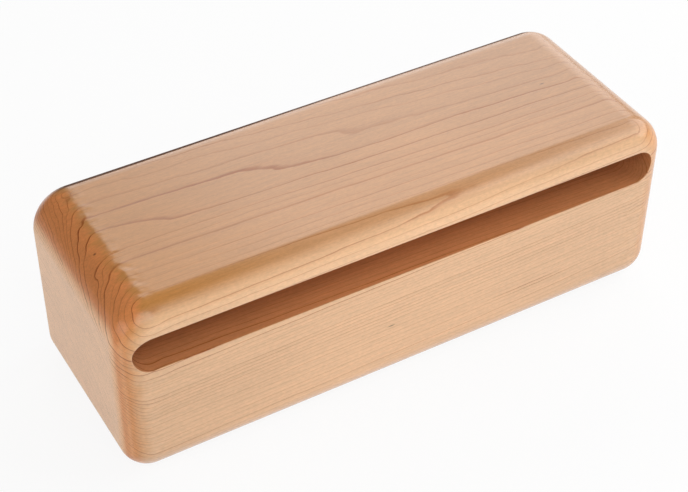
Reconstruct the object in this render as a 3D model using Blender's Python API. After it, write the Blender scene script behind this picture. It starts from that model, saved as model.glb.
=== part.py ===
"""Wood block: one squared length of hard maple with a long slot routed into its front.

Units are metres and +Z is up. +X runs along the grain and the slot, and -Y is the
front, where the slot opens. The origin lies on the resting plane, under the middle.
"""

import math

import bmesh
import bpy
from mathutils import Vector

# The squared blank
LENGTH = 0.221
DEPTH = 0.080
HEIGHT = 0.0735

# Round-overs across the two ends, on the edges that run from front to back
TOP_END_RADIUS = 0.0148
BOTTOM_END_RADIUS = 0.0105

# Round-over that runs round the outline of the front face and of the back face
OUTLINE_RADIUS = 0.0095

# The slot: a cutter leaves its own width, with walls of these thicknesses round it
CUTTER_DIAMETER = 0.0140
LID_THICKNESS = 0.0106
LEFT_WALL = 0.0049
RIGHT_WALL = 0.0069
BACK_WALL = 0.0240

# How far the cutter stands out of the front face before it enters
CUTTER_RUN_IN = 0.0050

# Facets in a quarter of a round-over, and in half a turn of the cutter
ROUND_SEGMENTS = 8
CUTTER_SEGMENTS = 16

# Lacquered hard maple
MAPLE_COLOUR = (0.61, 0.36, 0.20, 1.0)
MAPLE_ROUGHNESS = 0.35


def clear_scene():
    """Remove whatever objects the open file holds."""
    for thing in list(bpy.data.objects):
        bpy.data.objects.remove(thing, do_unlink=True)


def maple_material():
    """Clear-lacquered maple in one plain tone."""
    material = bpy.data.materials.new("maple")
    material.use_nodes = True
    shader = material.node_tree.nodes["Principled BSDF"]
    shader.inputs["Base Color"].default_value = MAPLE_COLOUR
    shader.inputs["Roughness"].default_value = MAPLE_ROUGHNESS
    shader.inputs["Metallic"].default_value = 0.0
    material.diffuse_color = MAPLE_COLOUR
    return material


def add_object(name, bm):
    """Turn a bmesh into an object of the scene."""
    mesh = bpy.data.meshes.new(name)
    bm.to_mesh(mesh)
    bm.free()
    thing = bpy.data.objects.new(name, mesh)
    bpy.context.scene.collection.objects.link(thing)
    return thing


def round_edges(bm, edges, radius):
    """Give some edges a round-over of one radius."""
    bmesh.ops.bevel(
        bm, geom=edges, offset=radius, offset_type="OFFSET", segments=ROUND_SEGMENTS,
        profile=0.5, affect="EDGES", clamp_overlap=True, material=-1,
    )


def cross_edges(bm, height):
    """Find the two edges that run from front to back at a height."""
    return [
        edge for edge in bm.edges
        if abs(edge.verts[0].co.y - edge.verts[1].co.y) > DEPTH / 2
        and all(abs(vert.co.z - height) < HEIGHT / 4 for vert in edge.verts)
    ]


def rounded_blank():
    """Square the blank, round its ends, then run a round-over round both outlines."""
    bm = bmesh.new()
    bmesh.ops.create_cube(bm, size=1.0)
    bmesh.ops.scale(bm, vec=(LENGTH, DEPTH, HEIGHT), verts=bm.verts)
    bmesh.ops.translate(bm, vec=(0.0, 0.0, HEIGHT / 2), verts=bm.verts)

    round_edges(bm, cross_edges(bm, HEIGHT), TOP_END_RADIUS)
    round_edges(bm, cross_edges(bm, 0.0), BOTTOM_END_RADIUS)

    outlines = [
        edge for edge in bm.edges
        if abs(edge.verts[0].co.y - edge.verts[1].co.y) < DEPTH / 2
    ]
    round_edges(bm, outlines, OUTLINE_RADIUS)
    return add_object("maple_block", bm)


def slot_cutter():
    """Sweep a round-nosed outline, one cutter high, from the front to the slot's end."""
    radius = CUTTER_DIAMETER / 2
    left = -LENGTH / 2 + LEFT_WALL + radius
    right = LENGTH / 2 - RIGHT_WALL - radius
    middle = HEIGHT - LID_THICKNESS - radius
    entry = -DEPTH / 2 - CUTTER_RUN_IN
    slot_end = DEPTH / 2 - BACK_WALL

    bm = bmesh.new()
    for place, side in ((right, 1), (left, -1)):
        centre = Vector((place, entry, middle))
        start = bm.verts.new(centre - Vector((0.0, 0.0, side * radius)))
        bmesh.ops.spin(
            bm, geom=[start], cent=centre, axis=(0.0, -1.0, 0.0),
            angle=math.pi, steps=CUTTER_SEGMENTS,
        )
    tips = [vert for vert in bm.verts if len(vert.link_edges) == 1]
    for side in (-1, 1):
        level = middle + side * radius
        bm.edges.new([vert for vert in tips if abs(vert.co.z - level) < radius / 2])
    outline = bmesh.ops.edgeloop_fill(bm, edges=bm.edges)["faces"]
    swept = bmesh.ops.extrude_face_region(bm, geom=outline)["geom"]
    moved = [item for item in swept if isinstance(item, bmesh.types.BMVert)]
    bmesh.ops.translate(bm, vec=(0.0, slot_end - entry, 0.0), verts=moved)
    bmesh.ops.recalc_face_normals(bm, faces=bm.faces)

    cutter = add_object("slot_cutter", bm)
    cutter.hide_render = True
    cutter.display_type = "WIRE"
    return cutter


def build():
    """Make the block and rout its slot."""
    clear_scene()
    block = rounded_blank()
    block.data.materials.append(maple_material())
    block.data.shade_smooth()
    routing = block.modifiers.new("slot", "BOOLEAN")
    routing.operation = "DIFFERENCE"
    routing.solver = "EXACT"
    routing.object = slot_cutter()


build()
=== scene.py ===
# %% [markdown]
# # A lacquered maple wood block
# This percussion block is one piece of hard maple with round edges and a long slot. The lesson loads the
# block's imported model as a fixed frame, makes a finer surface in the same place, finishes it as clear
# lacquered maple, and sets it on a white studio floor.

# %% Load the frame
import math

import bmesh
import bpy
from mathutils import Matrix, Vector
from mathutils.kdtree import KDTree


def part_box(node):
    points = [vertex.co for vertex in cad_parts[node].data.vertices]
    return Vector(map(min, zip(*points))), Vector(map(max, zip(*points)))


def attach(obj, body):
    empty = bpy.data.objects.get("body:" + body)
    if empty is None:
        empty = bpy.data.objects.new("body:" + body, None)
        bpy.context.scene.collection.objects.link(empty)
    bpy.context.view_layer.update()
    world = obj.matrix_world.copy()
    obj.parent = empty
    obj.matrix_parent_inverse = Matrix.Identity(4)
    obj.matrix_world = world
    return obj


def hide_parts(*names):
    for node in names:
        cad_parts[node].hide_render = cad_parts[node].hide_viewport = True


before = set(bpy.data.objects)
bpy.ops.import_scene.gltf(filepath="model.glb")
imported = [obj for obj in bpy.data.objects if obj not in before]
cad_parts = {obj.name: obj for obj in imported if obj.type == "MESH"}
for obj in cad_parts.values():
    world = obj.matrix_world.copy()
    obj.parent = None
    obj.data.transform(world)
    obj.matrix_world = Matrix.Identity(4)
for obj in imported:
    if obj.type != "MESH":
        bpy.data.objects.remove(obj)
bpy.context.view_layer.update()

# %% [markdown]
# ## Sizes
# The frame gives the block's length, depth and height. The radii are those of the router bits and the
# sander that a shop would use, and the slot's place comes from the wood left above it and at its ends.
# The mouth's arris is broken with a touch of sandpaper, so it catches a thin line of light.

# %% Sizes of the block, in metres
low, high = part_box("maple_block")
LENGTH, DEPTH, HEIGHT = high - low
TOP_END_RADIUS = 0.0148
BOTTOM_END_RADIUS = 0.0105
OUTLINE_RADIUS = 0.0095
SLOT_RADIUS = 0.0070
LID_THICKNESS = 0.0106
LEFT_WALL = 0.0049
RIGHT_WALL = 0.0069
BACK_WALL = 0.0240
TIP_RADIUS = 0.0008
MOUTH_EASE = 0.00035

front = -DEPTH / 2
slot_floor = DEPTH / 2 - BACK_WALL
slot_height = HEIGHT - LID_THICKNESS - SLOT_RADIUS
left_turn = -LENGTH / 2 + LEFT_WALL + SLOT_RADIUS
right_turn = LENGTH / 2 - RIGHT_WALL - SLOT_RADIUS
print(f"block {LENGTH * 1000:.1f} x {DEPTH * 1000:.1f} x {HEIGHT * 1000:.1f} mm")

# %% [markdown]
# ## The rounded blank
# A shop rounds the end edges first, across the grain, and then runs a round-over bit along the whole
# outline of the front and of the back. Two bevels in that order give the same corners as the bit does:
# each is a piece of a ring, and it flows into its neighbours without a kink. One bevel on all twelve
# edges could not do this, because two radii that meet at a corner leave a crease there.

# %% Saw and round the blank
ROUND_SEGMENTS = 14
SAME_PLACE = 1e-6


def round_over(bm, edges, radius):
    """Runs a round-over of this radius along these edges."""
    bmesh.ops.bevel(bm, geom=edges, offset=radius, offset_type="OFFSET", affect="EDGES",
                    segments=ROUND_SEGMENTS, profile=0.5, material=-1, clamp_overlap=True)


def edges_where(bm, test):
    """The edges whose two ends both pass a test of their place."""
    return [edge for edge in bm.edges if all(test(vert.co) for vert in edge.verts)]


def cross_edges(bm, level):
    """The edges across the grain at this height, at both ends."""
    found = edges_where(bm, lambda co: abs(co.z - level) < SAME_PLACE)
    return [edge for edge in found if edge.verts[0].co.y * edge.verts[1].co.y < 0]


def outline(bm, side):
    """The edges round the front face (side -1) or the back face (side 1)."""
    return edges_where(bm, lambda co: abs(co.y - side * DEPTH / 2) < SAME_PLACE)


block = bmesh.new()
bmesh.ops.create_cube(block, size=1.0)
bmesh.ops.scale(block, vec=(LENGTH, DEPTH, HEIGHT), verts=block.verts)
bmesh.ops.translate(block, vec=(0, 0, HEIGHT / 2), verts=block.verts)
round_over(block, cross_edges(block, HEIGHT), TOP_END_RADIUS)
round_over(block, cross_edges(block, 0.0), BOTTOM_END_RADIUS)
round_over(block, outline(block, -1) + outline(block, 1), OUTLINE_RADIUS)
print("rounded blank:", len(block.faces), "faces")

# %% [markdown]
# ## The slot
# A router bit cuts the slot: it goes in near one end and follows a straight path, so each end of the
# slot is half a circle. The slot is so long that its ends reach into the round-overs, and its mouth is
# curved there. A mouth like that is hard to model as faces but easy to cut, so the path of the bit is
# made as a solid: half a turn, a straight run, half a turn back, filled and pushed in to the slot's
# floor. The tip of the bit is slightly round, which leaves a small radius round the floor.

# %% Model the path of the router bit
RUN_IN = 0.0050
TURN_STEPS = 32
EASE_SEGMENTS = 3
cutter = bmesh.new()
entry = front - RUN_IN


def half_turn(bm, start, x):
    """Carries one vertex half a turn about the bit's axis at x, and returns it at its end."""
    made = bmesh.ops.spin(bm, geom=[start], cent=(x, entry, slot_height), axis=(0, 1, 0),
                          angle=math.pi, steps=TURN_STEPS, use_merge=False)
    return next(item for item in made["geom_last"] if isinstance(item, bmesh.types.BMVert))


first = cutter.verts.new((right_turn, entry, slot_height + SLOT_RADIUS))
below = half_turn(cutter, first, right_turn)
across = bmesh.ops.extrude_vert_indiv(cutter, verts=[below])["verts"][0]
across.co.x = left_turn
above = half_turn(cutter, across, left_turn)
cutter.edges.new((above, first))
nose = bmesh.ops.edgeloop_fill(cutter, edges=cutter.edges)["faces"]
pushed = bmesh.ops.extrude_face_region(cutter, geom=nose)["geom"]
tip = [item for item in pushed if isinstance(item, bmesh.types.BMVert)]
bmesh.ops.translate(cutter, vec=(0, slot_floor - entry, 0), verts=tip)
bmesh.ops.bevel(cutter, geom=edges_where(cutter, lambda co: abs(co.y - slot_floor) < SAME_PLACE),
                offset=TIP_RADIUS, offset_type="OFFSET", affect="EDGES", segments=EASE_SEGMENTS,
                profile=0.5, material=-1, clamp_overlap=True)
bmesh.ops.recalc_face_normals(cutter, faces=cutter.faces)
print(f"slot {(right_turn - left_turn + 2 * SLOT_RADIUS) * 1000:.1f} mm long,",
      f"{(slot_floor - front) * 1000:.1f} mm deep")

# %% [markdown]
# A Boolean modifier takes the path out of the blank. It is used on two working objects, and only its
# result is kept, so nothing of the bit stays in the scene.

# %% Cut the slot
def working_object(name, bm):
    """A short-lived object from a bmesh."""
    shape = bpy.data.meshes.new(name)
    bm.to_mesh(shape)
    bm.free()
    thing = bpy.data.objects.new(name, shape)
    bpy.context.scene.collection.objects.link(thing)
    return thing


blank = working_object("rounded_blank", block)
bit_path = working_object("bit_path", cutter)
cut = blank.modifiers.new("slot", "BOOLEAN")
cut.operation = "DIFFERENCE"
cut.solver = "EXACT"
cut.object = bit_path
mesh = bpy.data.meshes.new_from_object(blank.evaluated_get(bpy.context.evaluated_depsgraph_get()))
mesh.name = "lacquered_block"
for thing in (blank, bit_path):
    bpy.data.objects.remove(thing, do_unlink=True)
print("cut block:", len(mesh.polygons), "faces")

# %% [markdown]
# The rim of the mouth is left knife-sharp by the cut, where a real one has had a touch of sandpaper and
# catches a thin line of light. Its points come from two unrelated meshes, so some stand very close
# together. Points of the rim that crowd each other are merged, those of the round-overs that stand too
# near it are drawn onto it, and then one small bevel breaks the arris.

# %% Break the arris of the mouth
RIM_SPACING = 0.00040
RIM_CLEARANCE = 0.00050
SLIVER = 0.00004
STRAIGHT_IN = 0.01


def is_wall(face):
    """Whether this face is a wall of the slot, which runs straight in from the mouth."""
    depths = [vert.co.y for vert in face.verts]
    runs_in = abs(face.normal.y) < STRAIGHT_IN
    return runs_in and max(depths) > slot_floor - 2 * TIP_RADIUS and min(depths) < 0


def rim_of_mouth(bm):
    """The edges between a wall of the slot and the outer surface."""
    return [edge for edge in bm.edges if sum(map(is_wall, edge.link_faces)) == 1
            and max(vert.co.y for vert in edge.verts) < 0]


def points_of(edges):
    """The vertices of these edges, each once and in their order."""
    return list(dict.fromkeys(vert for edge in edges for vert in edge.verts))


block = bmesh.new()
block.from_mesh(mesh)
bmesh.ops.remove_doubles(block, verts=points_of(rim_of_mouth(block)), dist=RIM_SPACING)
rim_points = points_of(rim_of_mouth(block))
nearest = KDTree(len(rim_points))
for index, vert in enumerate(rim_points):
    nearest.insert(vert.co, index)
nearest.balance()
on_rim = set(rim_points)
drawn = {}
for vert in block.verts:
    _, index, gap = nearest.find(vert.co)
    if gap < RIM_CLEARANCE and vert not in on_rim:
        drawn[vert] = rim_points[index]
bmesh.ops.weld_verts(block, targetmap=drawn)
bmesh.ops.dissolve_degenerate(block, edges=block.edges, dist=SLIVER)
bmesh.ops.bevel(block, geom=rim_of_mouth(block), offset=MOUTH_EASE, offset_type="OFFSET",
                affect="EDGES", segments=EASE_SEGMENTS, profile=0.5, material=-1,
                clamp_overlap=False, loop_slide=False)
open_edges = sum(1 for edge in block.edges if not edge.is_manifold)
print(f"{open_edges} open edges, {len(rim_points)} rim points,",
      f"{block.calc_volume() * 1e6:.1f} cubic centimetres")
block.to_mesh(mesh)
block.free()

# %% [markdown]
# The surface is shaded smooth. A Weighted Normal modifier lets the large flat faces set the normals
# along their rims, so that the flats stay flat in reflections and the round-overs roll off them.

# %% Make the block an object
FLAT_FACE_WEIGHT = 80
mesh.shade_smooth()
lacquered_block = bpy.data.objects.new("lacquered_block", mesh)
bpy.context.scene.collection.objects.link(lacquered_block)
weighting = lacquered_block.modifiers.new("flat faces lead", "WEIGHTED_NORMAL")
weighting.mode = "FACE_AREA"
weighting.weight = FLAT_FACE_WEIGHT
print("object:", len(mesh.polygons), "faces,", len(mesh.vertices), "vertices")

# %% [markdown]
# ## Colours and nodes
# Colours are written as sRGB hex values, the way a paint program shows them, and one function turns
# them into the linear values that Cycles calculates with. One other function adds a node with its
# settings and links, so that each step of the finish reads as one statement. An input goes by its name
# or its number. Map Range has its value at 0, the range it comes from at 1 and 2, and the range it goes
# to at 3 and 4, from 0 to 1 where none is given. Mix has its share at 0, its two colours at 6 and 7, and
# the mixed colour as output 2.

# %% Colour and node helpers
def linear(hex_colour):
    """An sRGB hex colour as linear red, green, blue and alpha."""
    values = [int(hex_colour[i:i + 2], 16) / 255 for i in (1, 3, 5)]
    return tuple(v / 12.92 if v <= 0.04045 else ((v + 0.055) / 1.055) ** 2.4 for v in values) + (1.0,)


def add_node(tree, kind, inputs=None, output=0, **settings):
    """Adds a node, sets it, gives its inputs values or links, and returns one of its outputs."""
    node = tree.nodes.new(kind)
    for name, value in settings.items():
        setattr(node, name, value)
    for key, value in (inputs or {}).items():
        if isinstance(value, bpy.types.NodeSocket):
            tree.links.new(value, node.inputs[key])
        else:
            node.inputs[key].default_value = value
    return node.outputs[output] if len(node.outputs) else node


print("a pale maple is", [round(part, 3) for part in linear("#E5B990")[:3]], "in linear light")

# %% [markdown]
# ## Clear-lacquered hard maple
# Hard maple is a pale, close-grained wood, here under a clear sprayed lacquer such as nitrocellulose.
# The eye sees warm tan wood with thin red-brown lines, a soft gloss over it, and deep orange round-overs
# at the ends, partly end grain that has drunk the lacquer and partly painted shade. Wood isn't a picture
# wrapped round a block: its figure is where the cut faces slice through the tree, so everything here is
# worked out from the place inside the block, in millimetres. Each face, round-over and wall of the slot
# then shows its own slice, and the lines meet at every corner.

# %% The place inside the block
MM = 1000.0
maple = bpy.data.materials.new("clear_lacquered_hard_maple")
maple.use_nodes = True
wood = maple.node_tree
wood.nodes.clear()
in_metres = add_node(wood, "ShaderNodeTexCoord", output="Object")
place = add_node(wood, "ShaderNodeVectorMath", {0: in_metres, "Scale": MM}, operation="SCALE")
x, y, z = add_node(wood, "ShaderNodeSeparateXYZ", {0: place}).node.outputs
print("places run to", [round(side * MM / 2, 1) for side in (LENGTH, DEPTH)], "mm either way")

# %% [markdown]
# ## Growth rings
# The rings are cylinders about the pith, the centre of the trunk, which lay below and behind this block,
# about 140 mm from its top. A trunk tapers, so the rings are tilted a little against the block. From
# here on every length in the wood is in millimetres.

# %% Distance from the pith
PITH_Y = 48.0
PITH_Z = -60.0
TAPER = -0.014
across = add_node(wood, "ShaderNodeMath", {0: y, 1: PITH_Y}, operation="SUBTRACT")
above_pith = add_node(wood, "ShaderNodeMath", {0: z, 1: PITH_Z}, operation="SUBTRACT")
slice_place = add_node(wood, "ShaderNodeCombineXYZ", {"Y": across, "Z": above_pith})
radius = add_node(wood, "ShaderNodeVectorMath", {0: slice_place}, output="Value", operation="LENGTH")
tapered = add_node(wood, "ShaderNodeMath", {0: x, 1: TAPER, 2: radius}, operation="MULTIPLY_ADD")
print("the top lies", round(math.hypot(PITH_Y, HEIGHT * MM - PITH_Z)), "mm from the pith")

# %% [markdown]
# Two swellings of the trunk bend the rings. One is a fold on the upper side: past it the rings lie a
# little over 2 mm further out, so the lines on the top swing round it in long curves. It fades out
# downwards, and leaves the front straight. The other is a flare to the right, low down, where the lines
# of the front rise.

# %% Fold and flare
FOLD_SHIFT = -2.3
FOLD_START = 136.5
FOLD_SLOPE = -0.032
FOLD_BENDS = ((12.0, -0.03), (45.0, 0.05))
BEND_SOFTNESS = 14.0
FOLD_WIDTH = 4.5
FOLD_WIDE_END = 10.0
FOLD_WIDE_FROM = 50.0
FOLD_FOOT = 55.0
FOLD_CREST = 68.0
FLARE = -0.00012
start = add_node(wood, "ShaderNodeMath", {0: x, 1: FOLD_SLOPE, 2: FOLD_START}, operation="MULTIPLY_ADD")
for bend_x, bend_slope in FOLD_BENDS:
    past_bend = add_node(wood, "ShaderNodeMath", {0: x, 1: bend_x}, operation="SUBTRACT")
    past_bend = add_node(wood, "ShaderNodeMath", {0: past_bend, 1: 0.0, 2: BEND_SOFTNESS},
                         operation="SMOOTH_MAX")
    start = add_node(wood, "ShaderNodeMath", {0: past_bend, 1: bend_slope, 2: start},
                     operation="MULTIPLY_ADD")
width = add_node(wood, "ShaderNodeMapRange",
                 {0: x, 1: 0.0, 2: FOLD_WIDE_FROM, 3: FOLD_WIDTH, 4: FOLD_WIDE_END},
                 interpolation_type="SMOOTHSTEP")
into_fold = add_node(wood, "ShaderNodeMath", {0: radius, 1: start}, operation="SUBTRACT")
fold = add_node(wood, "ShaderNodeMapRange", {0: into_fold, 1: 0.0, 2: width, 3: 0.0, 4: FOLD_SHIFT},
                interpolation_type="SMOOTHSTEP")
near_top = add_node(wood, "ShaderNodeMapRange", {0: z, 1: FOLD_FOOT, 2: FOLD_CREST},
                    interpolation_type="SMOOTHSTEP")
folded = add_node(wood, "ShaderNodeMath", {0: fold, 1: near_top, 2: tapered}, operation="MULTIPLY_ADD")
to_right = add_node(wood, "ShaderNodeMath", {0: x, 1: 0.0}, operation="MAXIMUM")
to_right = add_node(wood, "ShaderNodeMath", {0: to_right, 1: 2.0}, operation="POWER")
flare = add_node(wood, "ShaderNodeMapRange", {0: near_top, 3: FLARE, 4: 0.0})
flared = add_node(wood, "ShaderNodeMath", {0: to_right, 1: flare, 2: folded}, operation="MULTIPLY_ADD")
print("fold and flare:", len(wood.nodes), "nodes so far")

# %% [markdown]
# No tree grows evenly. Two patterns do most of the work from here on, so each has a function. One is
# noise whose features have real lengths, long along the grain and short across it, and a shift of its
# own that keeps it unlike the others. The other is a spot, a soft ball or streak at a given place.

# %% Patterns for the figure of the wood
def figure(tree, spot, lengths, detail=2.0, roughness=0.5, shift=0.0):
    """Noise from -1 to 1 whose features have these lengths in millimetres along X, Y and Z."""
    per_mm = [1 / length for length in lengths]
    scaled = add_node(tree, "ShaderNodeVectorMath", {0: spot, 1: per_mm, 2: [shift] * 3},
                      operation="MULTIPLY_ADD")
    value = add_node(tree, "ShaderNodeTexNoise", {"Vector": scaled, "Scale": 1.0, "Detail": detail,
                                                  "Roughness": roughness}, noise_dimensions="3D")
    return add_node(tree, "ShaderNodeMapRange", {0: value, 3: -1.0, 4: 1.0})


def soft_spot(tree, spot, centre, reach):
    """A soft spot: 1 at its centre and 0 from this reach in millimetres along X, Y and Z."""
    per_mm = [1 / side for side in reach]
    offset = add_node(tree, "ShaderNodeVectorMath", {0: spot, 1: centre}, operation="SUBTRACT")
    offset = add_node(tree, "ShaderNodeVectorMath", {0: offset, 1: per_mm}, operation="MULTIPLY")
    away = add_node(tree, "ShaderNodeVectorMath", {0: offset}, output="Value", operation="LENGTH")
    return add_node(tree, "ShaderNodeMapRange", {0: away, 1: 0.0, 2: 1.0, 3: 1.0, 4: 0.0},
                    interpolation_type="SMOOTHSTEP")


print("two patterns ready")

# %% [markdown]
# Three waves of different lengths move the rings, the longest by up to half a millimetre. The grain is
# wilder near the ends, where the lines run over the round-overs in S-shaped curves. A pin knot sits on
# the left round-over, and the rings bend by half a millimetre round it.

# %% Waviness and the pin knot
WAVES = (((90, 30, 30), 0.5, 3.0), ((20, 6, 6), 0.30, 8.0), ((5, 2.5, 2.5), 0.06, 5.0))
WILD_LENGTHS = (11, 9, 9)
WILD_LIFT = 1.1
WILD_FROM = 90.0
WILD_FULL = 99.0
KNOT = (-101.5, -3.0, 72.3)
KNOT_REACH = (0.9, 0.7, 0.9)
KNOT_BEND_REACH = (9, 4, 4)
KNOT_LIFT = 0.5
distance = flared
for lengths, lift, shift in WAVES:
    wave = figure(wood, place, lengths, shift=shift)
    distance = add_node(wood, "ShaderNodeMath", {0: wave, 1: lift, 2: distance},
                        operation="MULTIPLY_ADD")
from_middle = add_node(wood, "ShaderNodeMath", {0: x}, operation="ABSOLUTE")
at_end = add_node(wood, "ShaderNodeMapRange", {0: from_middle, 1: WILD_FROM, 2: WILD_FULL},
                  interpolation_type="SMOOTHSTEP")
wild = figure(wood, place, WILD_LENGTHS, detail=1.0, shift=1.0)
wild = add_node(wood, "ShaderNodeMath", {0: wild, 1: at_end}, operation="MULTIPLY")
distance = add_node(wood, "ShaderNodeMath", {0: wild, 1: WILD_LIFT, 2: distance},
                    operation="MULTIPLY_ADD")
round_knot = soft_spot(wood, place, KNOT, KNOT_BEND_REACH)
distance = add_node(wood, "ShaderNodeMath", {0: round_knot, 1: KNOT_LIFT, 2: distance},
                    operation="MULTIPLY_ADD")
knot = soft_spot(wood, place, KNOT, KNOT_REACH)
print("waves and knot:", len(wood.nodes), "nodes so far")

# %% [markdown]
# The distance becomes a count of years: about 1.15 mm a year while the tree was young, and 1.65 mm
# later. A slow noise along the count makes good and bad spells of a few years.

# %% From distance to years
YOUNG_RING = 1.15
LATER_RING = 1.65
RINGS_WIDEN_AT = 137.5
WIDENING = 4.0
SPELL = 4.0
SPELL_YEARS = 1.2
inner = add_node(wood, "ShaderNodeMath", {0: distance, 1: RINGS_WIDEN_AT}, operation="SUBTRACT")
inner = add_node(wood, "ShaderNodeMath", {0: inner, 1: 0.0, 2: WIDENING}, operation="SMOOTH_MIN")
years = add_node(wood, "ShaderNodeMath", {0: distance, 1: 1 / LATER_RING, 2: 0.0},
                 operation="MULTIPLY_ADD")
years = add_node(wood, "ShaderNodeMath", {0: inner, 1: 1 / YOUNG_RING - 1 / LATER_RING, 2: years},
                 operation="MULTIPLY_ADD")
uneven = add_node(wood, "ShaderNodeMath", {0: distance, 1: SPELL}, operation="DIVIDE")
uneven = add_node(wood, "ShaderNodeTexNoise", {"W": uneven, "Scale": 1.0, "Detail": 1.0},
                  noise_dimensions="1D")
years = add_node(wood, "ShaderNodeMath", {0: uneven, 1: SPELL_YEARS, 2: years},
                 operation="MULTIPLY_ADD")
half_flat = (DEPTH / 2 - OUTLINE_RADIUS) * MM
at_front, at_rear = (math.hypot(side - PITH_Y, HEIGHT * MM - PITH_Z) for side in (-half_flat, half_flat))
print("the flat of the top shows about", round((at_front - at_rear) / LATER_RING), "years")

# %% [markdown]
# Within a year the wood darkens slowly and ends in a thin dark line. Each year has a strength of its
# own, squared so that most lines are faint. Three groups of years are stronger, after dry summers, and
# slow noise breaks the lines. One short stretch, low on the front, is stronger than the rest of its
# line.

# %% The line at the end of each year
LINE_FROM = 0.82
LINE_DARK = 0.95
LINE_FADES = 0.96
SHADE_FROM = 0.40
FAINTEST = 0.30
CLEAREST = 0.9
STRONG_YEARS = ((138.6, 1.9), (141.1, 1.0), (145.0, 1.0))
STRONG_BOOST = 0.45
BREAK_LENGTHS = (32, 4, 4)
STRETCH = (53.5, -40.0, 19.0)
STRETCH_REACH = (26, 8, 1.8)
STRETCH_BOOST = 1.2
part = add_node(wood, "ShaderNodeMath", {0: years}, operation="FRACT")
rise = add_node(wood, "ShaderNodeMapRange", {0: part, 1: LINE_FROM, 2: LINE_DARK},
                interpolation_type="SMOOTHSTEP")
fall = add_node(wood, "ShaderNodeMapRange", {0: part, 1: LINE_FADES, 2: 1.0, 3: 1.0, 4: 0.0},
                interpolation_type="SMOOTHSTEP")
edge = add_node(wood, "ShaderNodeMath", {0: rise, 1: fall}, operation="MULTIPLY")
this_year = add_node(wood, "ShaderNodeMath", {0: years}, operation="FLOOR")
own = add_node(wood, "ShaderNodeTexWhiteNoise", {"W": this_year}, noise_dimensions="1D")
own = add_node(wood, "ShaderNodeMath", {0: own, 1: 2.0}, operation="POWER")
strength = add_node(wood, "ShaderNodeMapRange", {0: own, 3: FAINTEST, 4: CLEAREST})
for strong_year, spread in STRONG_YEARS:
    years_away = add_node(wood, "ShaderNodeMath", {0: distance, 1: strong_year}, operation="SUBTRACT")
    years_away = add_node(wood, "ShaderNodeMath", {0: years_away}, operation="ABSOLUTE")
    boost = add_node(wood, "ShaderNodeMapRange",
                     {0: years_away, 1: 0.0, 2: spread, 3: STRONG_BOOST, 4: 0.0},
                     interpolation_type="SMOOTHSTEP")
    strength = add_node(wood, "ShaderNodeMath", {0: strength, 1: boost}, operation="ADD")
broken = figure(wood, place, BREAK_LENGTHS, shift=6.0)
broken = add_node(wood, "ShaderNodeMapRange", {0: broken, 1: -0.5, 2: 0.5, 3: 0.5, 4: 1.1})
strength = add_node(wood, "ShaderNodeMath", {0: strength, 1: broken}, operation="MULTIPLY")
stronger = soft_spot(wood, place, STRETCH, STRETCH_REACH)
strength = add_node(wood, "ShaderNodeMath", {0: stronger, 1: STRETCH_BOOST, 2: strength},
                    operation="MULTIPLY_ADD")
line = add_node(wood, "ShaderNodeMath", {0: edge, 1: strength}, operation="MULTIPLY")
slow_rise = add_node(wood, "ShaderNodeMapRange", {0: part, 1: SHADE_FROM, 2: LINE_DARK},
                     interpolation_type="SMOOTHSTEP")
shade = add_node(wood, "ShaderNodeMath", {0: slow_rise, 1: fall}, operation="MULTIPLY")
shade = add_node(wood, "ShaderNodeMath", {0: shade, 1: strength}, operation="MULTIPLY")
print("ring lines:", len(wood.nodes), "nodes so far")

# %% [markdown]
# The way a face is cut changes its tone. The surface's own normal says how far it has turned to the
# front or back, which are paler, and how far it has turned to the ends.

# %% Which way the surface is cut
SIDE_FROM = 0.38
SIDE_FULL = 1.06
normal = add_node(wood, "ShaderNodeTexCoord", output="Normal")
normal_x, normal_y, normal_z = add_node(wood, "ShaderNodeSeparateXYZ", {0: normal}).node.outputs
to_side = add_node(wood, "ShaderNodeMath", {0: normal_y}, operation="ABSOLUTE")
to_end = add_node(wood, "ShaderNodeMath", {0: normal_x}, operation="ABSOLUTE")
side_share = add_node(wood, "ShaderNodeMapRange", {0: to_side, 1: SIDE_FROM, 2: SIDE_FULL},
                      interpolation_type="SMOOTHSTEP")
print("cut:", len(wood.nodes), "nodes so far")

# %% [markdown]
# At the ends the cut vessels drink the lacquer and turn orange, most where they are cut at a slant, so
# the round-overs at the ends are the darkest, and the flat end is paler again. Part of this orange is
# painted shade: it is full on the left end, and the right end is kept paler, which is painted light,
# apart from its upright round-overs. The orange begins unevenly, in short fingers along the grain.

# %% End grain and painted shade at the ends
RIM_FROM = 91.0
RIM_FULL = 96.0
FINGER_LENGTHS = (10, 3.5, 3.5)
UNEVEN_REACH = 0.30
END_FROM = 0.02
END_FULL_ABOVE = 0.42
END_FULL_UPRIGHT = 0.95
LEFT_SHADED_AND_SANDED = -60.0
RIGHT_LIT_AND_SMOOTH = 60.0
RIGHT_UPRIGHT = 0.85
SQUARE_ABOVE = 0.86
SQUARE_UPRIGHT = 0.66
UPRIGHT_FROM = 0.3
UPRIGHT_PALENESS = 0.25
full_end = add_node(wood, "ShaderNodeMapRange", {0: side_share, 3: END_FULL_ABOVE, 4: END_FULL_UPRIGHT})
near_rim = add_node(wood, "ShaderNodeMapRange",
                    {0: from_middle, 1: RIM_FROM, 2: RIM_FULL, 4: UNEVEN_REACH})
ragged = figure(wood, place, FINGER_LENGTHS, roughness=0.6, shift=15.0)
ragged_end = add_node(wood, "ShaderNodeMath", {0: ragged, 1: near_rim, 2: to_end},
                      operation="MULTIPLY_ADD")
end_grain_and_shade = add_node(wood, "ShaderNodeMapRange", {0: ragged_end, 1: END_FROM, 2: full_end},
                     interpolation_type="SMOOTHSTEP")
right_end = add_node(wood, "ShaderNodeMapRange", {0: side_share, 3: 0.0, 4: RIGHT_UPRIGHT})
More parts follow.
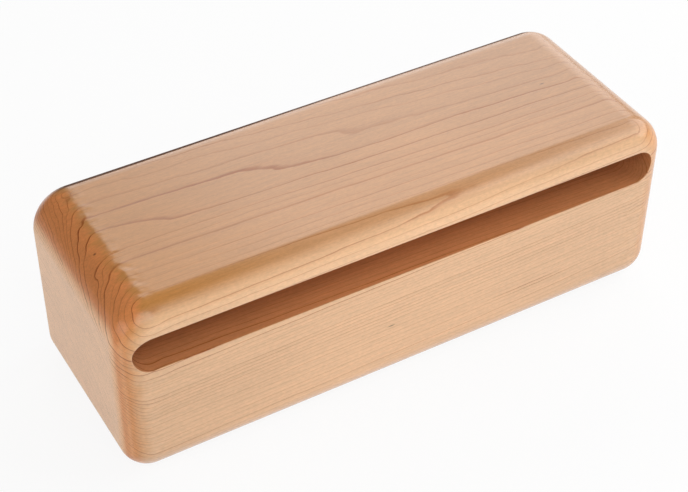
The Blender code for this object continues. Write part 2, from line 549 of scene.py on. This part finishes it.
# Painted shade and painted light: full orange on the left end, kept lower on the right end. The same
# ramp sets how wavy the sanded rims are below.
end_shade_and_sanding = add_node(wood, "ShaderNodeMapRange",
                 {0: x, 1: LEFT_SHADED_AND_SANDED, 2: RIGHT_LIT_AND_SMOOTH, 3: 1.0, 4: right_end})
end_grain_and_shade = add_node(wood, "ShaderNodeMath", {0: end_grain_and_shade, 1: end_shade_and_sanding}, operation="MULTIPLY")
square_from = add_node(wood, "ShaderNodeMapRange",
                       {0: side_share, 2: UPRIGHT_FROM, 3: SQUARE_ABOVE, 4: SQUARE_UPRIGHT})
square_share = add_node(wood, "ShaderNodeMapRange", {0: to_end, 1: square_from, 2: 1.0},
                        interpolation_type="SMOOTHSTEP")
square_share = add_node(wood, "ShaderNodeMath", {0: side_share, 1: UPRIGHT_PALENESS, 2: square_share},
                        operation="MULTIPLY_ADD", use_clamp=True)
print("ends:", len(wood.nodes), "nodes so far")

# %% [markdown]
# The tone is built as a finisher sees it: the top warm tan, more orange to the left, the front paler,
# the round-overs at the ends orange and the flat ends pale. The upright corners of the right end are a
# little more orange again, which is painted shade.

# %% Tone of the board
TOP_TONE = "#C08D60"
TOP_LEFT_TONE = "#BE8243"
FRONT_TONE = "#EDC095"
SLANT_TONE = "#DC8A4E"
CORNER_TONE = "#D8924A"
END_TONE = "#FECA9A"
LEFT_FULL = -100.0
LEFT_LIMIT = -25.0
CORNER_FROM = 80.0
CORNER_FULL = 102.0
CORNER_GAIN = 1.6
to_left = add_node(wood, "ShaderNodeMapRange", {0: x, 1: LEFT_FULL, 2: LEFT_LIMIT, 3: 1.0, 4: 0.0},
                   interpolation_type="SMOOTHSTEP")
tone = add_node(wood, "ShaderNodeMix", {0: to_left, 6: linear(TOP_TONE), 7: linear(TOP_LEFT_TONE)},
                output=2, data_type="RGBA")
tone = add_node(wood, "ShaderNodeMix", {0: side_share, 6: tone, 7: linear(FRONT_TONE)},
                output=2, data_type="RGBA")
slant_tone = add_node(wood, "ShaderNodeMix",
                      {0: side_share, 6: linear(SLANT_TONE), 7: linear(CORNER_TONE)},
                      output=2, data_type="RGBA")
end_tone = add_node(wood, "ShaderNodeMix", {0: square_share, 6: slant_tone, 7: linear(END_TONE)},
                    output=2, data_type="RGBA")
tone = add_node(wood, "ShaderNodeMix", {0: end_grain_and_shade, 6: tone, 7: end_tone}, output=2, data_type="RGBA")
# Painted shade on the upright round-overs of the right end.
right_corner_shade = add_node(wood, "ShaderNodeMapRange",
                        {0: x, 1: CORNER_FROM, 2: CORNER_FULL, 3: 0.0, 4: CORNER_GAIN})
right_corner_shade = add_node(wood, "ShaderNodeMath", {0: right_corner_shade, 1: to_side}, operation="MULTIPLY")
right_corner_shade = add_node(wood, "ShaderNodeMath", {0: right_corner_shade, 1: to_end}, operation="MULTIPLY",
                        use_clamp=True)
tone = add_node(wood, "ShaderNodeMix", {0: right_corner_shade, 6: tone, 7: linear(CORNER_TONE)},
                output=2, data_type="RGBA")
print("tone:", len(wood.nodes), "nodes so far")

# %% [markdown]
# The board is a little lighter in its middle and towards the sapwood, the outer wood of the trunk, and
# slow clouds along the grain vary all of it.

# %% Lighter and darker wood
MIDDLE_TO = 15.0
ENDS_FROM = 90.0
MIDDLE_LIGHT = 1.07
ENDS_LIGHT = 0.97
SAPWOOD_FROM = 139.0
SAPWOOD_FULL = 149.0
SAPWOOD_LIGHT = 1.09
CLOUD_LENGTHS = (70, 12, 12)
CLOUD_DEPTH = 0.07
middle = add_node(wood, "ShaderNodeMapRange",
                  {0: from_middle, 1: MIDDLE_TO, 2: ENDS_FROM, 3: MIDDLE_LIGHT, 4: ENDS_LIGHT},
                  interpolation_type="SMOOTHSTEP")
sapwood = add_node(wood, "ShaderNodeMapRange",
                   {0: radius, 1: SAPWOOD_FROM, 2: SAPWOOD_FULL, 3: 1.0, 4: SAPWOOD_LIGHT})
middle = add_node(wood, "ShaderNodeMath", {0: middle, 1: sapwood}, operation="MULTIPLY")
clouds = figure(wood, place, CLOUD_LENGTHS, shift=11.0)
brightness = add_node(wood, "ShaderNodeMath", {0: clouds, 1: CLOUD_DEPTH, 2: middle},
                      operation="MULTIPLY_ADD")
print("brightness:", len(wood.nodes), "nodes so far")

# %% [markdown]
# The slot takes a deeper, redder tone, which is painted shade for the dark of the recess. The slot is
# found from the place. Seen from the front it is every spot within the cutter's radius of the line that
# the cutter's middle followed, and it goes from the front face to the slot's floor.

# %% Painted shade in the slot
SLOT_SHADE_TONE = "#CA8858"
SLOT_MARGIN = 0.05
slot_middle = (left_turn + right_turn) / 2 * MM
half_run = (right_turn - left_turn) / 2 * MM
past_turn = add_node(wood, "ShaderNodeMath", {0: x, 1: slot_middle}, operation="SUBTRACT")
past_turn = add_node(wood, "ShaderNodeMath", {0: past_turn}, operation="ABSOLUTE")
past_turn = add_node(wood, "ShaderNodeMath", {0: past_turn, 1: half_run}, operation="SUBTRACT")
past_turn = add_node(wood, "ShaderNodeMath", {0: past_turn, 1: 0.0}, operation="MAXIMUM")
over_run = add_node(wood, "ShaderNodeMath", {0: z, 1: slot_height * MM}, operation="SUBTRACT")
from_run = add_node(wood, "ShaderNodeCombineXYZ", {"X": past_turn, "Z": over_run})
from_run = add_node(wood, "ShaderNodeVectorMath", {0: from_run}, output="Value", operation="LENGTH")
slot_shade_mask = add_node(wood, "ShaderNodeMath", {0: from_run, 1: SLOT_RADIUS * MM + SLOT_MARGIN},
                   operation="LESS_THAN")
before_floor = add_node(wood, "ShaderNodeMath", {0: y, 1: slot_floor * MM + SLOT_MARGIN},
                        operation="LESS_THAN")
slot_shade_mask = add_node(wood, "ShaderNodeMath", {0: slot_shade_mask, 1: before_floor}, operation="MULTIPLY")
# Painted shade: the walls of the slot take a deeper tone.
tone = add_node(wood, "ShaderNodeMix", {0: slot_shade_mask, 6: tone, 7: linear(SLOT_SHADE_TONE)},
                output=2, data_type="RGBA")
print("slot:", len(wood.nodes), "nodes so far")

# %% [markdown]
# Over the tone come the ring lines. They are about as clear on the front as on the top, redder there,
# and clearest on the ends.

# %% Lines
RING_LINE = "#9A5208"
FRONT_LINE = "#A8501E"
END_LINE = "#8A3C08"
LINE_ON_TOP = 0.88
LINE_IN_FRONT = 0.90
MORE_ON_END = 0.45
SHADE_DEPTH = 0.16
line_share = add_node(wood, "ShaderNodeMapRange", {0: side_share, 3: LINE_ON_TOP, 4: LINE_IN_FRONT})
line_share = add_node(wood, "ShaderNodeMath", {0: end_grain_and_shade, 1: MORE_ON_END, 2: line_share},
                      operation="MULTIPLY_ADD")
line_share = add_node(wood, "ShaderNodeMath", {0: line, 1: line_share}, operation="MULTIPLY",
                      use_clamp=True)
shade_share = add_node(wood, "ShaderNodeMath", {0: shade, 1: SHADE_DEPTH}, operation="MULTIPLY",
                       use_clamp=True)
line_tone = add_node(wood, "ShaderNodeMix", {0: side_share, 6: linear(RING_LINE), 7: linear(FRONT_LINE)},
                     output=2, data_type="RGBA")
line_tone = add_node(wood, "ShaderNodeMix", {0: end_grain_and_shade, 6: line_tone, 7: linear(END_LINE)},
                     output=2, data_type="RGBA")
grained = add_node(wood, "ShaderNodeMix", {0: shade_share, 6: tone, 7: line_tone},
                   output=2, data_type="RGBA")
grained = add_node(wood, "ShaderNodeMix", {0: line_share, 6: grained, 7: line_tone},
                   output=2, data_type="RGBA")
print("lines:", len(wood.nodes), "nodes so far")

# %% [markdown]
# Then come the fine fibres, wider bands, a speckle of pores, and the few dark flecks that every board
# has. The fibres and pores of maple are finer than a pixel of the render, so they are drawn about half
# a millimetre wide.

# %% Fibres and flecks
FLECK = "#4A2A18"
FLECK_SHARE = 0.8
FLECKS = (((82, 2, 73.5), (1.6, 0.5, 0.8)), ((-8, -40, 26), (2.4, 0.8, 0.4)))
FIBRE_ON_TOP = 0.19
FIBRE_IN_FRONT = 0.10
BAND_DEPTH = 0.11
PORE_DEPTH = 0.15
fibres = figure(wood, place, (9, 0.40, 0.40), detail=3.0, roughness=0.6, shift=2.0)
bands = figure(wood, place, (40, 1.6, 1.6), shift=12.0)
pores = figure(wood, place, (1.4, 0.6, 0.6), shift=7.0)
fibre_depth = add_node(wood, "ShaderNodeMapRange", {0: side_share, 3: FIBRE_ON_TOP, 4: FIBRE_IN_FRONT})
for texture, depth in ((fibres, fibre_depth), (bands, BAND_DEPTH), (pores, PORE_DEPTH)):
    brightness = add_node(wood, "ShaderNodeMath", {0: texture, 1: depth, 2: brightness},
                          operation="MULTIPLY_ADD")
grained = add_node(wood, "ShaderNodeVectorMath", {0: grained, "Scale": brightness}, operation="SCALE")
for spot in [knot] + [soft_spot(wood, place, centre, reach) for centre, reach in FLECKS]:
    spot_share = add_node(wood, "ShaderNodeMath", {0: spot, 1: FLECK_SHARE}, operation="MULTIPLY")
    grained = add_node(wood, "ShaderNodeMix", {0: spot_share, 6: grained, 7: linear(FLECK)},
                       output=2, data_type="RGBA")
print("colour:", len(wood.nodes), "nodes so far")

# %% [markdown]
# A thin dark band of painted shade follows the upper back edge, where the back round-over turns away
# from the light. It is placed by how far the round-over has turned to the back. It is a little narrower
# on the right, and it stops short of both ends.

# %% Painted shade along the upper back edge
BACK_SHADE_TONE = "#4A2617"
BACK_SHADE_FROM_LEFT = 0.24
BACK_SHADE_FROM_RIGHT = 0.33
BACK_SHADE_SOFTNESS = 0.12
BACK_SHADE_END = 0.82
BACK_SHADE_END_SOFTNESS = 0.18
NARROWS_FROM = -70.0
NARROWS_TO = 20.0
CLEAR_FROM = 96.0
CLEAR_TO = 103.0
FACING_UP = 0.3
PALEST = 0.85
at_back = add_node(wood, "ShaderNodeMath", {0: y, 1: slot_floor * MM}, operation="GREATER_THAN")
facing_up = add_node(wood, "ShaderNodeMath", {0: normal_z, 1: FACING_UP}, operation="GREATER_THAN")
back_shade_from = add_node(wood, "ShaderNodeMapRange",
                       {0: x, 1: NARROWS_FROM, 2: NARROWS_TO, 3: BACK_SHADE_FROM_LEFT, 4: BACK_SHADE_FROM_RIGHT})
back_shade_full = add_node(wood, "ShaderNodeMath", {0: back_shade_from, 1: BACK_SHADE_SOFTNESS}, operation="ADD")
back_shade = add_node(wood, "ShaderNodeMapRange", {0: normal_y, 1: back_shade_from, 2: back_shade_full},
                  interpolation_type="SMOOTHSTEP")
stops = add_node(wood, "ShaderNodeMapRange",
                 {0: normal_y, 1: BACK_SHADE_END - BACK_SHADE_END_SOFTNESS, 2: BACK_SHADE_END, 3: 1.0, 4: 0.0},
                 interpolation_type="SMOOTHSTEP")
fading = figure(wood, place, (30, 30, 30), shift=14.0)
fading = add_node(wood, "ShaderNodeMapRange", {0: fading, 1: -1.0, 3: PALEST, 4: 1.0})
clear_of_ends = add_node(wood, "ShaderNodeMapRange",
                         {0: from_middle, 1: CLEAR_FROM, 2: CLEAR_TO, 3: 1.0, 4: 0.0})
for limit in (stops, at_back, facing_up, fading, clear_of_ends):
    back_shade = add_node(wood, "ShaderNodeMath", {0: back_shade, 1: limit}, operation="MULTIPLY")
# Painted shade along the back round-over, where it turns away from the light.
grained = add_node(wood, "ShaderNodeMix", {0: back_shade, 6: grained, 7: linear(BACK_SHADE_TONE)},
                   output=2, data_type="RGBA")
print("streak:", len(wood.nodes), "nodes so far")

# %% [markdown]
# ## The lacquer
# Sprayed lacquer flows out to a soft gloss but never quite flat: fibres and ring lines leave a trace of
# a few thousandths of a millimetre. The rims of the ends were sanded by hand, mostly the left one, and
# are wavy by up to a quarter of a millimetre, which makes the edge of a reflection ragged there. Heights
# are in thousandths of a millimetre, and Bump's distance turns them into metres.

# %% Relief of the surface
MICROMETRE = 0.000001
FIBRE_HEIGHT = 3.0
LINE_DEPTH = -4.0
WAVE_HEIGHT = 8.0
END_WAVE_HEIGHT = 240.0
LEVEL_TO = 0.10
TURNED_FROM = 0.60
WAVES_LEFT = 0.03
waves = figure(wood, place, (26, 6, 6), detail=1.0, shift=9.0)
hand_waves = figure(wood, place, (6, 4, 4), detail=1.0, shift=10.0)
near_end = add_node(wood, "ShaderNodeMapRange",
                    {0: from_middle, 1: RIM_FROM, 2: RIM_FULL, 4: END_WAVE_HEIGHT},
                    interpolation_type="SMOOTHSTEP")
rounded = add_node(wood, "ShaderNodeMapRange",
                   {0: to_end, 1: LEVEL_TO, 2: TURNED_FROM, 3: 1.0, 4: WAVES_LEFT})
wave_height = add_node(wood, "ShaderNodeMath", {0: near_end, 1: rounded}, operation="MULTIPLY")
wave_height = add_node(wood, "ShaderNodeMath", {0: wave_height, 1: end_shade_and_sanding}, operation="MULTIPLY")
relief = add_node(wood, "ShaderNodeMath", {0: hand_waves, 1: wave_height}, operation="MULTIPLY")
for texture, depth in ((waves, WAVE_HEIGHT), (fibres, FIBRE_HEIGHT), (line, LINE_DEPTH)):
    relief = add_node(wood, "ShaderNodeMath", {0: texture, 1: depth, 2: relief},
                      operation="MULTIPLY_ADD")
bump = add_node(wood, "ShaderNodeBump", {"Height": relief, "Distance": MICROMETRE, "Strength": 1.0})
print("relief:", len(wood.nodes), "nodes so far")

# %% [markdown]
# The lacquer is the coat here, with an IOR near 1.5. The end grain drinks it, so its film is thinner
# there. Along the painted shade of the upper back edge the coat is taken off and the wood made rough, so
# the painted shade hardly shines. The wood under the coat has almost no shine of its own, because the
# lacquer fills its surface.

# %% Shader of the lacquered wood
LACQUER_IOR = 1.5
LACQUER_ROUGHNESS = 0.23
THIN_ON_END = -0.55
THIN_FROM = 0.60
THIN_FULL = 0.85
WOOD_SMOOTHEST = 0.38
WOOD_ROUGHEST = 0.55
BACK_SHADE_ROUGHNESS = 0.5
WOOD_SHINE = 0.15
thinner = add_node(wood, "ShaderNodeMapRange", {0: to_end, 1: THIN_FROM, 2: THIN_FULL, 4: THIN_ON_END})
coat = add_node(wood, "ShaderNodeMath", {0: thinner, 1: 1.0}, operation="ADD")
# Along the painted shade of the back edge the coat is taken off and the roughness raised, so it stays
# dark.
coat = add_node(wood, "ShaderNodeMath", {0: coat, 1: back_shade}, operation="SUBTRACT", use_clamp=True)
roughness = add_node(wood, "ShaderNodeMapRange",
                     {0: fibres, 1: -1.0, 3: WOOD_SMOOTHEST, 4: WOOD_ROUGHEST})
roughness = add_node(wood, "ShaderNodeMath", {0: back_shade, 1: BACK_SHADE_ROUGHNESS, 2: roughness},
                     operation="MULTIPLY_ADD", use_clamp=True)
shader = add_node(wood, "ShaderNodeBsdfPrincipled", {
    "Base Color": grained, "Roughness": roughness, "Specular IOR Level": WOOD_SHINE,
    "Coat Weight": coat, "Coat Roughness": LACQUER_ROUGHNESS, "Coat IOR": LACQUER_IOR,
    "Normal": bump, "Coat Normal": bump})
add_node(wood, "ShaderNodeOutputMaterial", {"Surface": shader})
lacquered_block.data.materials.append(maple)
print("lacquered maple:", len(wood.nodes), "nodes")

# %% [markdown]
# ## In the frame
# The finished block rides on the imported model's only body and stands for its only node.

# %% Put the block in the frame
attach(lacquered_block, "root")
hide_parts("maple_block")
print("the block replaces maple_block")

# %% [markdown]
# ## The studio
# The floor is a wide sheet of white paper. The camera and the reflections mostly see it plain white, and
# the rest of it is lit matt white, which keeps the block's shadow.

# %% Floor
FLOOR_RADIUS = 6.0
FLOOR_GAP = 0.0002
FLOOR_SIDES = 64
FLOOR_WHITE = "#F2F2F2"
floor_mesh = bpy.data.meshes.new("studio_floor")
sheet = bmesh.new()
bmesh.ops.create_circle(sheet, cap_ends=True, segments=FLOOR_SIDES, radius=FLOOR_RADIUS)
bmesh.ops.translate(sheet, vec=(0, 0, low.z - FLOOR_GAP), verts=sheet.verts)
sheet.to_mesh(floor_mesh)
sheet.free()
floor = bpy.data.objects.new("studio_floor", floor_mesh)
bpy.context.scene.collection.objects.link(floor)
print("floor", 2 * FLOOR_RADIUS, "m across")

# %% [markdown]
# White paper is matt and reflects nearly all light. Light Path tells which rays see the plain white, and
# a tenth of the lit paper is mixed in, so that the block's shadow shows.

# %% Paper
SHADOW_SHARE = 0.10
paper = bpy.data.materials.new("matt_white_paper")
paper.use_nodes = True
tree = paper.node_tree
tree.nodes.clear()
matt = add_node(tree, "ShaderNodeBsdfDiffuse", {"Color": linear(FLOOR_WHITE)})
white = add_node(tree, "ShaderNodeEmission", {"Color": (1, 1, 1, 1), "Strength": 1.0})
seen = add_node(tree, "ShaderNodeLightPath").node.outputs
share = add_node(tree, "ShaderNodeMath", {0: seen["Is Camera Ray"], 1: seen["Is Glossy Ray"]},
                 operation="ADD")
share = add_node(tree, "ShaderNodeMath", {0: share, 1: seen["Is Transmission Ray"]}, operation="ADD")
share = add_node(tree, "ShaderNodeMath", {0: share, 1: 1 - SHADOW_SHARE}, operation="MULTIPLY")
both = add_node(tree, "ShaderNodeMixShader", {0: share, 1: matt, 2: white})
add_node(tree, "ShaderNodeOutputMaterial", {"Surface": both})
floor_mesh.materials.append(paper)
print("paper:", len(tree.nodes), "nodes")

# %% [markdown]
# ## The light
# A product photographer sets a block like this between softboxes: one large one at the front left, one
# on the right that rakes over the top, two small fills, and a wide one behind, whose reflection is the
# pale sheen on the top. The sheen ends where the round-overs begin to turn away. A softbox is set by the
# brightness of its face, so its size can change without changing how bright it looks. Four watts over a
# square metre give a brightness of 1.

# %% Softboxes
WATTS = 4


def softbox(name, centre, target, width, height, radiance):
    """A rectangular lamp that faces a point, with this radiance over its face."""
    lamp = bpy.data.lights.new(name, "AREA")
    lamp.shape = "RECTANGLE"
    lamp.size, lamp.size_y = width, height
    lamp.energy = radiance * width * height * WATTS
    holder = bpy.data.objects.new(name, lamp)
    holder.location = centre
    holder.rotation_euler = (Vector(target) - Vector(centre)).to_track_quat("-Z", "Y").to_euler()
    bpy.context.scene.collection.objects.link(holder)


MIDDLE = (0, 0, 0.04)
STRAIGHT_AHEAD = (0.75, 0, 0.76)
softbox("front_left_softbox", (-0.31, -0.86, 0.92), MIDDLE, width=1.0, height=0.9, radiance=1.54)
softbox("right_softbox", (1.05, -0.18, 0.75), MIDDLE, width=1.5, height=1.1, radiance=2.1)
softbox("front_fill", (0.29, -1.09, 0.65), MIDDLE, width=1.2, height=0.7, radiance=0.42)
softbox("left_fill", (-1.25, -0.11, 0.34), MIDDLE, width=0.9, height=0.6, radiance=1.4)
softbox("rear_softbox", (0.75, 1.0, 0.76), STRAIGHT_AHEAD, width=1.3, height=1.24, radiance=1.75)
print("lamps:", len(bpy.data.lights))

# %% [markdown]
# The room round the set is dim and grey. It gives a little light from everywhere, so no shadow is black.

# %% Room
ROOM_LIGHT = 0.12
room = bpy.data.worlds.new("grey_room")
room.use_nodes = True
room.node_tree.nodes.clear()
air = add_node(room.node_tree, "ShaderNodeBackground", {"Color": (1, 1, 1, 1), "Strength": ROOM_LIGHT})
add_node(room.node_tree, "ShaderNodeOutputWorld", {"Surface": air})
bpy.context.scene.world = room
print("room light", ROOM_LIGHT)

# %% [markdown]
# ## The camera
# The block is seen from its left, front and above, with a long lens, from a little over 0.6 m.

# %% Camera
CAMERA_AZIMUTH = 30.22
CAMERA_TILT = 41.01
CAMERA_ROLL = 0.32
CAMERA_DISTANCE = 0.6328
AIM_RIGHT = -0.0037
AIM_UP = 0.02255
LENS_MM = 86.3
SENSOR_MM = 36.0
turned = (Matrix.Rotation(math.radians(CAMERA_ROLL), 3, "Y")
          @ Matrix.Rotation(math.radians(CAMERA_TILT), 3, "X")
          @ Matrix.Rotation(math.radians(CAMERA_AZIMUTH), 3, "Z"))
right, forward, up = turned
lens = bpy.data.cameras.new("studio_camera")
lens.lens = LENS_MM
lens.sensor_width = SENSOR_MM
camera = bpy.data.objects.new("studio_camera", lens)
camera.matrix_world = Matrix((right, up, -forward)).transposed().to_4x4()
camera.location = right * AIM_RIGHT + up * AIM_UP - forward * CAMERA_DISTANCE
bpy.context.scene.collection.objects.link(camera)
bpy.context.scene.camera = camera
bpy.context.scene.view_settings.view_transform = "Standard"
print("camera at", [round(v, 4) for v in camera.location])
